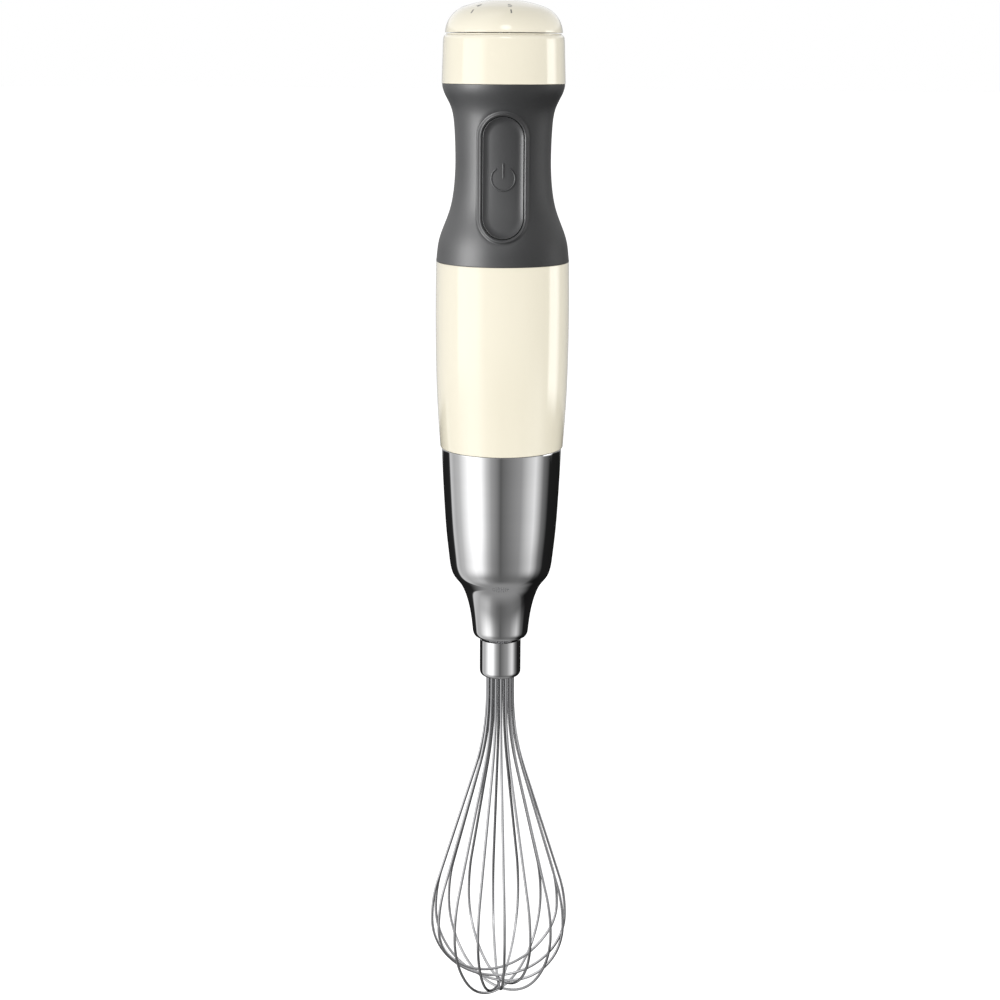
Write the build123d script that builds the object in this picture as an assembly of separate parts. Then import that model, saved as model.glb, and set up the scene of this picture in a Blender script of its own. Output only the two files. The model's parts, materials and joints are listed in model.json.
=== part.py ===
"""Corded immersion blender with its whisk attachment, one STEP file per piece.

Millimetres, +Z up.  The axis of the tool is the Z axis and the lowest wire of
the whisk touches z = 0.  The power button faces -Y and the cord inlet +Y.
"""
from build123d import *
from math import acos, atan2, cos, degrees, pi, radians, sin, tan
import os

# Driving dimensions: heights of the seams between the pieces that show.
FERRULE_FOOT = 169.4
FERRULE_TOP = 188.2
NECK_FOOT = 189.7
HOUSING_FOOT = 284.24
GRIP_FOOT = 372.6
GRIP_TOP = 454.08
COLLAR_TOP = 475.9
DIAL_FOOT = 476.8
TOTAL_HEIGHT = 491.6

# Walls and running gaps.
GRIP_WALL = 2.4
CORE_WALL = 2.0
STEEL_WALL = 0.8
SHELL_GAP = 0.3

# Whisk.
WIRE_R = 0.6
LEG_R = 6.3
LEG_TOP = 182.5
BALLOON_R = 33.8
BALLOON_Z = 41.0
FLARE_ANGLE = 17.4
FLARE_R = 134.0
SHOULDER_R = 74.0
WIRE_PITCH = 1.3
SHORT_LOOP_RISE = 12.0
LOOP_ANGLES = (50.0, -40.0, 72.5, 95.0, -17.5, -62.5, 5.0, 27.5)
HEX = 6.0

# Power button.
BUTTON_Z = 412.5
BUTTON_W, BUTTON_H = 18.9, 54.5
OPENING_W, OPENING_H = 19.4, 55.0
BEAD_W, BEAD_H, BEAD_RISE = 23.0, 58.6, 0.7
BUTTON_INSET = 1.8
BUTTON_TRAVEL = 1.8
RIM_INSET = 0.5
DISH_W, DISH_H, DISH_Y, DISH_TAPER = 10.2, 45.8, 18.5, 40.0

# Planetary reduction in the whisk adapter.
MODULE = 0.8
SUN_TEETH, PLANET_TEETH, RING_TEETH = 12, 18, 48
PRESSURE = radians(25)
ADDENDUM, DEDENDUM = 0.64, 0.9
BACKLASH = 0.12
PLANET_R = MODULE * (SUN_TEETH + PLANET_TEETH) / 2
GEAR_FOOT, GEAR_TOP = 241.5, 253.5

# Rotor and its bearings.
SHAFT_R = 2.5
BUSH_GAP = 0.05
ARMATURE_SLOTS = 8

# Bayonet between the adapter and the motor housing.
SPIGOT_R = 20.9
LUG_R = 23.3
LUG_HALF = 12.0
TWIST = 20.0
JAW_HALF = 30.0

# Cord inlet.
INLET_Z = 465.0
INLET_BORE_R = 3.5

os.makedirs("parts", exist_ok=True)


def save(shape, node):
    export_step(shape, f"parts/{node}.step")


def turned(start, *moves):
    """A solid of revolution.  A move is a point (r, z), an arc given as
    (middle r, middle z, end r, end z), or a list of points for a spline."""
    edges = []
    here = start
    for move in moves:
        if isinstance(move, list):
            edges.append(Spline([here, *move]))
            here = move[-1]
        elif len(move) == 4:
            edges.append(ThreePointArc(here, move[:2], move[2:]))
            here = move[2:]
        else:
            edges.append(Line(here, move))
            here = move
    edges.append(Line(here, start))
    return revolve(Plane.XZ * make_face(edges), Axis.Z)


def tube(inner, outer, low, high):
    """A plain ring, or a disc where the inner radius is 0."""
    section = Circle(outer)
    if inner:
        section -= Circle(inner)
    return extrude(Pos(0, 0, low) * section, high - low)


def sector(inner, outer, low, high, middle, half):
    """Part of a ring, `half` degrees each side of the direction `middle`."""
    face = Plane.XZ * Pos((inner + outer) / 2, (low + high) / 2) * Rectangle(outer - inner, high - low)
    return Rot(0, 0, middle - half) * revolve(face, Axis.Z, revolution_arc=2 * half)


def rod(radius, low, high, x=0.0, y=0.0):
    return Pos(x, y, low) * extrude(Circle(radius), high - low)


def block(x0, x1, y0, y1, z0, z1):
    return Pos((x0 + x1) / 2, (y0 + y1) / 2, (z0 + z1) / 2) * Box(x1 - x0, y1 - y0, z1 - z0)


def around(radius, angles):
    """Places on a circle about the axis."""
    return [(radius * cos(radians(a)), radius * sin(radians(a))) for a in angles]


def merged(solids):
    """One compound of solids that stay separate."""
    return Compound(children=list(solids))


# Waisted outline of the grip, bottom to top, as (radius, height).
GRIP_LINE = [
    (31.2, GRIP_FOOT), (30.25, 380.6), (26.5, 391.8), (23.4, 402.9), (22.2, 418.0),
    (22.6, 433.0), (23.6, 441.3), (26.2, 447.6), (28.0, 452.2), (28.4, GRIP_TOP),
]


def grip_plug(inset):
    """The solid inside the grip's outline when that is drawn in by `inset`."""
    line = [(r - inset, z) for r, z in GRIP_LINE]
    return turned((0, GRIP_FOOT), line[0], line[1:], (0, GRIP_TOP))


def stadium(width, height, depth=40.0):
    """A bar of stadium section that runs forwards from the axis at the button."""
    return extrude(Plane.XZ * Pos(0, BUTTON_Z) * SlotOverall(height, width, rotation=90), depth)


def screw(x, y, seat, length, radius, head_r, head_h, up=True):
    """Pan-head screw whose head rests on height `seat`."""
    turn = 1 if up else -1
    head = Pos(x, y, seat) * extrude(Circle(head_r), turn * head_h)
    shank = Pos(x, y, seat) * extrude(Circle(radius), -turn * length)
    slot = Pos(x, y, seat + turn * head_h) * Box(head_r * 1.3, 0.6, 0.8)
    return head + shank - slot


# --------------------------------------------------------------- speed dial

CROWN_R = 54.5
RIM_TURN = 13.0
RIM_AT = (14.0, 476.17)
crown_end = (18.385, TOTAL_HEIGHT - CROWN_R + (CROWN_R**2 - 18.385**2) ** 0.5)
crown_mid = (10.0, TOTAL_HEIGHT - CROWN_R + (CROWN_R**2 - 10.0**2) ** 0.5)
rim_mid = (RIM_AT[0] + RIM_TURN * cos(radians(36)), RIM_AT[1] + RIM_TURN * sin(radians(36)))
rim_end = (RIM_AT[0] + (RIM_TURN**2 - (DIAL_FOOT - RIM_AT[1]) ** 2) ** 0.5, DIAL_FOOT)
speed_dial = turned(
    (0, TOTAL_HEIGHT),
    (*crown_mid, *crown_end),
    (*rim_mid, *rim_end),
    (24.6, DIAL_FOOT),
    (24.6, 480.0),
    (21.5, 484.3),
    (14.0, 487.0),
    (5.0, 487.8),
    (5.0, 478.5),
    (3.0, 478.5),
    (3.0, 486.5),
    (0, 486.5),
)
save(speed_dial, "speed_dial")

# The spindle joins the dial to the wiper of the speed control.
dial_spindle = rod(3.0, 461.0, 486.5)
save(dial_spindle, "dial_spindle")

# Rotary speed control: a round can with a threaded neck and three tags.
speed_control = tube(0, 9.0, 458.3, 467.0) + tube(0, 4.0, 467.0, 471.0)
speed_control += merged(block(x - 0.8, x + 0.8, -12.0, -8.5, 459.5, 460.1) for x in (-4.0, 0.0, 4.0))
speed_control -= rod(3.0 + BUSH_GAP, 460.8, 471.0)
save(speed_control, "speed_control")

# ------------------------------------------------------- head collar, inlet

head_collar = turned(
    (28.5, GRIP_TOP),
    (27.85, 473.4),
    (27.45, 475.1, 26.3, COLLAR_TOP),
    (25.3, COLLAR_TOP),
    (25.3, 476.4),
    (4.2, 476.4),
    (4.2, 473.9),
    (24.0, 473.9),
    (26.05, 472.0),
    (26.05, GRIP_TOP),
)
GLAND_R = 5.5
inlet = Plane((0, 0, INLET_Z), x_dir=(1, 0, 0), z_dir=(0, 1, 0))
head_collar -= inlet * Pos(0, 0, 15) * extrude(Circle(GLAND_R), 20)
save(head_collar, "head_collar")

cord_gland = inlet * Pos(0, 0, 21.5) * extrude(Circle(GLAND_R), 8.3)
cord_gland += inlet * Pos(0, 0, 21.5) * extrude(Circle(6.5), 1.7)
cord_gland += inlet * Pos(0, 0, 29.8) * extrude(Circle(GLAND_R), 1.2, taper=30)
cord_gland -= inlet * Pos(0, 0, 20) * extrude(Circle(INLET_BORE_R), 15)
save(cord_gland, "cord_gland")

dial_bracket = tube(0, 25.5, 456.2, 458.3)
dial_bracket -= merged(rod(3.0, 455, 460, x, y) for x, y in around(15.0, (200, 340)))
bracket_points = around(21.0, (30, 150, 270))
dial_bracket -= merged(rod(1.3, 455, 460, x, y) for x, y in bracket_points)
save(dial_bracket, "dial_bracket")

bracket_screws = merged(screw(x, y, 458.3, 7.8, 1.3, 2.6, 1.6) for x, y in bracket_points)
save(bracket_screws, "bracket_screws")

cord_clamp = block(-9.0, 9.0, 13.5, 19.5, 458.3, 469.0)
cord_clamp -= inlet * Pos(0, 0, 10) * extrude(Circle(INLET_BORE_R), 15)
save(cord_clamp, "cord_clamp")

# --------------------------------------------------- grip, core and button

grip_sleeve = grip_plug(0) - grip_plug(GRIP_WALL)
bead = (grip_plug(-BEAD_RISE) - grip_plug(GRIP_WALL / 2)) & stadium(BEAD_W, BEAD_H)
grip_sleeve = grip_sleeve + bead - stadium(OPENING_W, OPENING_H)
save(grip_sleeve, "grip_sleeve")

BOARD_X, BOARD_LOW, BOARD_HIGH = 12.0, 384.0, 444.0
BOARD_Y, BOARD_T = 0.0, 1.6
core_inset = GRIP_WALL + CORE_WALL
handle_core = grip_plug(GRIP_WALL) - grip_plug(core_inset)
rails = block(-30, 30, BOARD_Y - 1.4, BOARD_Y + BOARD_T + 1.4, BOARD_LOW, BOARD_HIGH)
rails -= block(-11.0, 11.0, -5, 5, 380, 450)
handle_core += rails & grip_plug(GRIP_WALL + 0.5)
slot_x = BOARD_X + 0.1
handle_core -= block(-slot_x, slot_x, BOARD_Y, BOARD_Y + BOARD_T, BOARD_LOW - 1, BOARD_HIGH + 1)
handle_core += tube(18.0, 24.8, 450.3, GRIP_TOP)
handle_core += tube(18.0, 26.0, GRIP_TOP, 456.2)
handle_core += tube(0, 28.8, 371.2, GRIP_FOOT + 0.26)
handle_core += tube(26.9, 28.8, 364.0, 371.2)
handle_core -= stadium(OPENING_W, OPENING_H)
handle_core -= merged(rod(1.3, 450.5, 460, x, y) for x, y in bracket_points)
motor_points = around(17.0, (90, 210, 330))
handle_core -= merged(rod(1.5, 370, 375, x, y) for x, y in motor_points)
LEAD_X, LEAD_Y, LEAD_R = 8.0, 2.8, 1.1
handle_core -= merged(rod(LEAD_R + 0.4, 370, 375, x, LEAD_Y) for x in (-LEAD_X, LEAD_X))
save(handle_core, "handle_core")

# The button is a curved stadium cap, dished inside a sloping rim, with a
# retaining flange and a push post.
FLANGE_INSET = core_inset + SHELL_GAP
ICON_Z, ICON_R, ICON_LINE, ICON_RISE = 412.0, 5.4, 0.7, 0.35
ICON_GAP = 35.0
power_button = (grip_plug(RIM_INSET) - grip_plug(FLANGE_INSET + 1.1)) & stadium(BUTTON_W, BUTTON_H)
dish_floor = Plane((0, -DISH_Y, BUTTON_Z), x_dir=(1, 0, 0), z_dir=(0, -1, 0))
dish = extrude(dish_floor * SlotOverall(DISH_H, DISH_W, rotation=90), 6.0, taper=-DISH_TAPER)
power_button -= dish - grip_plug(BUTTON_INSET)
power_button += (grip_plug(FLANGE_INSET) - grip_plug(FLANGE_INSET + 1.1)) & stadium(22.6, 58.0)
icon = Circle(ICON_R + ICON_LINE / 2) - Circle(ICON_R - ICON_LINE / 2)
gap_x = 12 * tan(radians(ICON_GAP))
icon -= make_face(Polyline((0, 0), (gap_x, 12), (-gap_x, 12), close=True))
icon += Pos(0, 3.6) * SlotOverall(6.4, ICON_LINE, rotation=90)
icon_bar = extrude(Plane.XZ * Pos(0, ICON_Z) * icon, 40)
power_button += (grip_plug(BUTTON_INSET - ICON_RISE) - grip_plug(BUTTON_INSET + 0.5)) & icon_bar
POST_END = -9.2
button_post = extrude(Plane((0, POST_END, ICON_Z), x_dir=(1, 0, 0), z_dir=(0, -1, 0)) * Circle(2.2), 8.0)
power_button += button_post
save(power_button, "power_button")

# Snap-action switch on the board, with its plunger under the post.
power_switch = block(-6.0, 6.0, -7.0, BOARD_Y, 403.0, 421.0)
plunger_line = Plane((0, -7.0, ICON_Z), x_dir=(1, 0, 0), z_dir=(0, 1, 0))
power_switch -= plunger_line * extrude(Circle(1.6), 6.0)
save(power_switch, "power_switch")
switch_plunger = plunger_line * Pos(0, 0, -2.0) * extrude(Circle(1.5), 6.0)
save(switch_plunger, "switch_plunger")

# Return spring: a coil round the post, between the flange and the switch.
SPRING_R, SPRING_WIRE = 3.4, 0.35
SPRING_FRONT, SPRING_BACK = -15.6, -7.4
spring_coils = 5
spring_step = (SPRING_BACK - SPRING_FRONT) / spring_coils
helix = Helix(spring_step, SPRING_BACK - SPRING_FRONT, SPRING_R)
spring_axis = Plane((0, SPRING_FRONT, ICON_Z), x_dir=(1, 0, 0), z_dir=(0, 1, 0))
coil_section = Plane(helix @ 0, z_dir=helix % 0) * Circle(SPRING_WIRE)
button_spring = spring_axis * sweep(coil_section, path=helix, is_frenet=True)
save(button_spring, "button_spring")

control_board = block(-BOARD_X, BOARD_X, BOARD_Y, BOARD_Y + BOARD_T, BOARD_LOW, BOARD_HIGH)
save(control_board, "control_board")

# Finned heatsink of the triac, on the back of the board.
triac_heatsink = block(-9, 9, BOARD_Y + BOARD_T, 3.6, 418, 440)
triac_heatsink += merged(block(x - 0.6, x + 0.6, 3.6, 9.5, 418, 440) for x in (-8.4, -4.2, 0, 4.2, 8.4))
save(triac_heatsink, "triac_heatsink")

motor_leads = merged(rod(LEAD_R, 369.0, 392.0, x, LEAD_Y) for x in (-LEAD_X, LEAD_X))
save(motor_leads, "motor_leads")

# ------------------------------------------------------------ motor housing

motor_housing = turned(
    (28.7, HOUSING_FOOT),
    (29.2, 284.6, 29.4, 285.4),
    [(29.9, 292.0), (30.6, 303.6), (31.25, 322.0), (31.5, 347.0), (31.4, 362.0), (31.15, GRIP_FOOT)],
    (28.9, GRIP_FOOT),
    (28.9, 320.0),
    (27.4, 318.0),
    (27.4, HOUSING_FOOT),
)
save(motor_housing, "motor_housing")

# Bayonet ring: three lugs enter by the open slots and turn in the groove.
GROOVE_LOW, GROOVE_HIGH = 288.2, 292.0
bayonet_socket = tube(SPIGOT_R + SHELL_GAP, 27.4, 285.0, 297.5)
for lug in (0, 120, 240):
    groove_half = LUG_HALF + TWIST / 2 + 1.5
    bayonet_socket -= sector(20, LUG_R + 0.4, GROOVE_LOW, GROOVE_HIGH, lug + TWIST / 2, groove_half)
    bayonet_socket -= sector(20, LUG_R + 0.4, 284.0, GROOVE_HIGH, lug + TWIST, LUG_HALF + 1.5)
save(bayonet_socket, "bayonet_socket")

# -------------------------------------------------------------------- motor

CAN_R, CAN_WALL = 21.5, 1.5
CAN_FOOT, CAN_TOP = 306.0, 352.0
motor_can = turned(
    (5.0, CAN_FOOT),
    (CAN_R - 1.5, CAN_FOOT),
    (CAN_R - 0.4, CAN_FOOT + 0.4, CAN_R, CAN_FOOT + 1.5),
    (CAN_R, CAN_TOP),
    (CAN_R - CAN_WALL, CAN_TOP),
    (CAN_R - CAN_WALL, CAN_FOOT + CAN_WALL),
    (5.0, CAN_FOOT + CAN_WALL),
)
motor_can += tube(5.0, 6.6, 304.2, 309.0)
save(motor_can, "motor_can")

lower_bushing = tube(SHAFT_R + BUSH_GAP, 5.0, 304.2, 309.0)
save(lower_bushing, "lower_bushing")

field_magnets = merged(sector(16.8, CAN_R - CAN_WALL, 311, 347, middle, 62) for middle in (0, 180))
save(field_magnets, "field_magnets")

motor_end_cap = tube(19.8, CAN_R, CAN_TOP, 366.0)
motor_end_cap += tube(5.0, CAN_R, 366.0, 369.0)
motor_end_cap += tube(5.0, 7.0, 363.5, 366.0)
motor_end_cap += merged(rod(3.5, 369.0, 371.2, x, y) for x, y in motor_points)
motor_end_cap -= merged(rod(1.5, 364, 372, x, y) for x, y in motor_points)
motor_end_cap -= merged(rod(LEAD_R, 365, 370, x, LEAD_Y) for x in (-LEAD_X, LEAD_X))
save(motor_end_cap, "motor_end_cap")

motor_screws = merged(screw(x, y, GRIP_FOOT + 0.26, 7.0, 1.5, 2.8, 1.8) for x, y in motor_points)
save(motor_screws, "motor_screws")

upper_bushing = tube(SHAFT_R + BUSH_GAP, 5.0, 363.5, 368.5)
save(upper_bushing, "upper_bushing")

motor_damper = tube(CAN_R, 27.4, 308.5, 314.0)
motor_damper -= merged(sector(23.0, 28, 308, 315, a, 14) for a in range(0, 360, 60))
save(motor_damper, "motor_damper")

BRUSH_Z = 356.5
brush_holders = []
carbon_brushes = []
brush_springs = []
for side in (0, 180):
    holder = block(8.6, 19.4, -2.8, 2.8, BRUSH_Z - 3.3, BRUSH_Z + 3.3)
    holder -= block(8.0, 18.8, -2.1, 2.1, BRUSH_Z - 2.6, BRUSH_Z + 2.6)
    brush = block(6.6, 14.0, -2.0, 2.0, BRUSH_Z - 2.5, BRUSH_Z + 2.5)
    zigzag = Polyline(*[(14.2 + 0.7 * k, (-1.7, 1.7)[k % 2]) for k in range(7)])
    spring = extrude(Plane.XZ * Pos(0, BRUSH_Z) * trace(zigzag, 0.3), 1.2, both=True)
    brush_holders.append(Rot(0, 0, side) * holder)
    carbon_brushes.append(Rot(0, 0, side) * brush)
    brush_springs.append(Rot(0, 0, side) * spring)
save(merged(brush_holders), "brush_holders")
save(merged(carbon_brushes), "carbon_brushes")
save(merged(brush_springs), "brush_springs")

# -------------------------------------------------------------------- rotor

motor_shaft = rod(SHAFT_R, 290.0, 368.0)
save(motor_shaft, "motor_shaft")

ARMATURE_R, ARMATURE_LOW, ARMATURE_HIGH = 16.2, 314.0, 344.0
slot_angles = [k * 360 / ARMATURE_SLOTS for k in range(ARMATURE_SLOTS)]
slot = block(8.0, 14.6, -2.3, 2.3, ARMATURE_LOW, ARMATURE_HIGH)
slot += block(14.0, 17.0, -0.9, 0.9, ARMATURE_LOW, ARMATURE_HIGH)
armature_core = tube(SHAFT_R, ARMATURE_R, ARMATURE_LOW, ARMATURE_HIGH)
for angle in slot_angles:
    armature_core -= Rot(0, 0, angle) * slot
save(armature_core, "armature_core")

upper_winding = ((14.2, 344.0), (14.6, 346.5, 12.5, 348.8), (6.5, 349.2), (4.5, 347.0))
lower_winding = ((4.5, 311.0), (6.5, 309.6), (12.5, 309.8), (14.6, 311.5, 14.2, 314.0))
armature_windings = turned((4.5, 344.0), *upper_winding)
armature_windings += turned((4.5, 314.0), *lower_winding)
for angle in slot_angles:
    armature_windings += Rot(0, 0, angle) * block(8.2, 14.2, -2.1, 2.1, ARMATURE_LOW, ARMATURE_HIGH)
save(armature_windings, "armature_windings")

commutator = tube(SHAFT_R, 6.5, 350.5, 362.0)
for angle in slot_angles:
    commutator -= Rot(0, 0, angle) * block(5.6, 7.0, -0.25, 0.25, 350, 361)
save(commutator, "commutator")

cooling_fan = tube(SHAFT_R, 4.5, 297.5, 303.6) + tube(4.0, 19.0, 302.3, 303.6)
for k in range(9):
    cooling_fan += Rot(0, 0, 40 * k) * block(4.2, 18.5, -0.5, 0.5, 298.0, 302.6)
save(cooling_fan, "cooling_fan")

DOG_R = 9.5
drive_dog = tube(SHAFT_R, DOG_R, 290.0, 296.0)
drive_dog += merged(sector(4.5, DOG_R, 284.8, 290.5, a, JAW_HALF) for a in (0, 180))
save(drive_dog, "drive_dog")

# ------------------------------------------------------------ whisk adapter

SHELL_LINE = [
    (28.2, 273.0), (27.3, 257.5), (26.25, 241.6), (24.95, 229.6), (23.9, 223.2), (22.7, 220.5),
    (19.6, 216.5), (17.5, 212.5), (16.1, 208.4), (14.8, 202.8), (13.9, 196.7), (13.5, 192.6),
]
SHELL_TOP = HOUSING_FOOT - SHELL_GAP
shell_inside = [(r - STEEL_WALL, z) for r, z in reversed(SHELL_LINE)]
adapter_shell = turned(
    (28.7, SHELL_TOP),
    SHELL_LINE,
    (13.0, 190.7, 11.6, NECK_FOOT),
    (10.9, NECK_FOOT),
    (10.9, NECK_FOOT + STEEL_WALL),
    (11.2, NECK_FOOT + STEEL_WALL),
    (12.3, 191.2, *shell_inside[0]),
    [*shell_inside[1:], (28.7 - STEEL_WALL, SHELL_TOP)],
)
save(adapter_shell, "adapter_shell")

BOX_R = 22.05
adapter_core = turned(
    (BOX_R, 232.0), (BOX_R, 278.0), (18.3, 278.0), (18.3, 296.0), (SPIGOT_R - 0.6, 296.0),
    (SPIGOT_R, 295.4), (SPIGOT_R, SHELL_TOP), (27.4, SHELL_TOP), (27.4, 278.0), (23.6, 276.0),
    (23.6, 232.0), (21.5, 228.0), (12.0, 228.0), (10.6, 226.0), (10.6, 190.6), (8.05, 190.6), (8.05, 232.0),
)
for lug in (0, 120, 240):
    adapter_core += sector(SPIGOT_R - 1, LUG_R, 288.6, 291.6, lug, LUG_HALF)
save(adapter_core, "adapter_core")


def involute(angle):
    return tan(angle) - angle


def gear_outline(teeth, tip, root, thinning, phase, steps=4):
    """Points round an involute gear.  `thinning` is taken off each tooth at
    the pitch circle; a negative value widens it, as for the spaces of a ring."""
    pitch_r = MODULE * teeth / 2
    base_r = pitch_r * cos(PRESSURE)
    half = pi / (2 * teeth) - thinning / (2 * pitch_r) + involute(PRESSURE)
    low = max(root, base_r)
    heights = [low + (tip - low) * k / steps for k in range(steps + 1)]
    flank = [(r, half - involute(acos(base_r / r))) for r in heights]
    if root < base_r:
        flank.insert(0, (root, half))
    points = []
    for k in range(teeth):
        middle = radians(phase) + 2 * pi * k / teeth
        points += [(r, middle - a) for r, a in flank] + [(r, middle + a) for r, a in reversed(flank)]
    return Polyline(*[(r * cos(a), r * sin(a)) for r, a in points], close=True)


def gear(teeth, phase):
    pitch_r = MODULE * teeth / 2
    outline = gear_outline(teeth, pitch_r + ADDENDUM, pitch_r - DEDENDUM, BACKLASH / 2, phase)
    return extrude(Pos(0, 0, GEAR_FOOT) * make_face(outline), GEAR_TOP - GEAR_FOOT)


ring_pitch_r = MODULE * RING_TEETH / 2
ring_space = gear_outline(
    RING_TEETH, ring_pitch_r + DEDENDUM, ring_pitch_r - ADDENDUM, -BACKLASH / 2, 180 / RING_TEETH
)
ring_gear = tube(0, BOX_R, 241.0, 254.0) - extrude(Pos(0, 0, 240) * make_face(ring_space), 15)
save(ring_gear, "ring_gear")

input_shaft = gear(SUN_TEETH, 0) + tube(0, 4.0, GEAR_TOP, 276.0)
save(input_shaft, "input_shaft")
input_dog = tube(4.0, DOG_R, 272.0, 276.0) + tube(0, DOG_R, 276.0, 279.0)
input_dog += merged(sector(4.5, DOG_R, 278.5, 288.5, a, JAW_HALF) for a in (90, 270))
save(input_dog, "input_dog")

PIN_R = 1.5
PLANET_ANGLES = (0, 120, 240)
planet_bore = rod(PIN_R + BUSH_GAP, 240, 256)
planet = gear(PLANET_TEETH, 180 / PLANET_TEETH) - planet_bore
for number, angle in enumerate(PLANET_ANGLES, start=1):
    save(Rot(0, 0, angle) * Pos(PLANET_R, 0, 0) * planet, f"planet_gear_{number}")

pin_points = around(PLANET_R, PLANET_ANGLES)
planet_pins = merged(rod(PIN_R, 236.5, 254.3, x, y) for x, y in pin_points)
save(planet_pins, "planet_pins")

HUB_R = 5.5
SOCKET_TOP = 216.0
planet_carrier = tube(0, 15.5, 235.5, 240.6) + tube(0, HUB_R, 190.0, 235.5)
planet_carrier -= merged(rod(PIN_R, 236.5, 241, x, y) for x, y in pin_points)
hex_socket = RegularPolygon(HEX / 2 + 0.1, 6, major_radius=False)
planet_carrier -= extrude(Pos(0, 0, 189) * hex_socket, SOCKET_TOP - 189)
save(planet_carrier, "planet_carrier")

gearbox_cover = tube(6.0, BOX_R, 256.0, 259.0) + tube(6.0, 8.0, 255.0, 261.0)
save(gearbox_cover, "gearbox_cover")
input_bushing = tube(4.0 + BUSH_GAP, 6.0, 255.0, 261.0)
save(input_bushing, "input_bushing")
neck_bushing = tube(HUB_R + BUSH_GAP, 8.05, 196.0, 208.0)
save(neck_bushing, "neck_bushing")
neck_seal = tube(HUB_R + 0.1, 8.05, 190.8, 194.0)
save(neck_seal, "neck_seal")

# -------------------------------------------------------------------- whisk

whisk_ferrule = turned(
    (7.4, FERRULE_FOOT), (9.1, 170.1, 9.85, 171.8), (10.05, 173.4, 9.95, 175.2), (9.85, 181.0),
    (9.75, 187.2), (9.6, 187.95, 9.1, FERRULE_TOP), (4.2, FERRULE_TOP), (4.2, 187.5), (8.8, 187.5),
    (9.2, 187.1), (9.2, 172.0), (8.6, 170.6), (7.4, 170.1),
)
save(whisk_ferrule, "whisk_ferrule")

hex_bore = RegularPolygon(HEX / 2 + 0.02, 6, major_radius=False)
leg_angles = [5.0 + 22.5 * k for k in range(16)]
whisk_hub = tube(0, 9.15, 172.2, 186.9) - extrude(Pos(0, 0, 170) * hex_bore, 20)
whisk_hub -= merged(rod(WIRE_R + 0.03, 170, LEG_TOP + 0.3, x, y) for x, y in around(LEG_R, leg_angles))
save(whisk_hub, "whisk_hub")

whisk_shaft = extrude(Pos(0, 0, 173.0) * RegularPolygon(HEX / 2, 6, major_radius=False), 40.0)
whisk_shaft -= tube(2.9, 4.0, 209.0, 210.2)
save(whisk_shaft, "whisk_shaft")


def wire_path(rise):
    """Centre line of one loop: two straight legs, two flaring arcs, the
    shoulders, and a bottom that is flatter the shorter the loop is.  Below
    the widest point each side is an arc that meets the arc of the foot."""
    turn = radians(FLARE_ANGLE)
    slant = (BALLOON_R - LEG_R - (FLARE_R + SHOULDER_R) * (1 - cos(turn))) / sin(turn)
    flare_z = BALLOON_Z + (FLARE_R + SHOULDER_R) * sin(turn) + slant * cos(turn)
    foot = WIRE_R + rise
    height = BALLOON_Z - foot
    side_r = height + 0.9 * (height - BALLOON_R)
    foot_r = (side_r**2 - height**2 - (BALLOON_R - side_r) ** 2) / (2 * (side_r - height))
    spread = side_r - foot_r
    meet = degrees(atan2((height - foot_r) / spread, (side_r - BALLOON_R) / spread))
    slant_top = (LEG_R + FLARE_R * (1 - cos(turn)), flare_z - FLARE_R * sin(turn))
    slant_end = (slant_top[0] + slant * sin(turn), slant_top[1] - slant * cos(turn))
    return Wire([
        Line((LEG_R, LEG_TOP), (LEG_R, flare_z)),
        CenterArc((LEG_R + FLARE_R, flare_z), FLARE_R, 180, FLARE_ANGLE),
        Line(slant_top, slant_end),
        CenterArc((BALLOON_R - SHOULDER_R, BALLOON_Z), SHOULDER_R, FLARE_ANGLE, -FLARE_ANGLE),
        CenterArc((BALLOON_R - side_r, BALLOON_Z), side_r, 0, -meet),
        CenterArc((0, foot + foot_r), foot_r, -meet, -(180 - 2 * meet)),
        CenterArc((side_r - BALLOON_R, BALLOON_Z), side_r, meet - 180, -meet),
        CenterArc((SHOULDER_R - BALLOON_R, BALLOON_Z), SHOULDER_R, 180, -FLARE_ANGLE),
        Line((-slant_end[0], slant_end[1]), (-slant_top[0], slant_top[1])),
        CenterArc((-LEG_R - FLARE_R, flare_z), FLARE_R, -FLARE_ANGLE, FLARE_ANGLE),
        Line((-LEG_R, flare_z), (-LEG_R, LEG_TOP)),
    ])


section = Plane((LEG_R, LEG_TOP, 0), z_dir=(0, -1, 0)) * Circle(WIRE_R)
for number, angle in enumerate(LOOP_ANGLES, start=1):
    rise = SHORT_LOOP_RISE if number == len(LOOP_ANGLES) else WIRE_PITCH * (number - 1)
    loop = sweep(section, path=wire_path(rise))
    save(Rot(0, 0, angle) * (Plane.XZ * loop), f"whisk_wire_{number}")
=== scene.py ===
import json
from math import atan2, cos, hypot, pi, radians, sin, sqrt

import bmesh
import bpy
import numpy as np
from mathutils import Euler, Matrix, Vector


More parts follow.
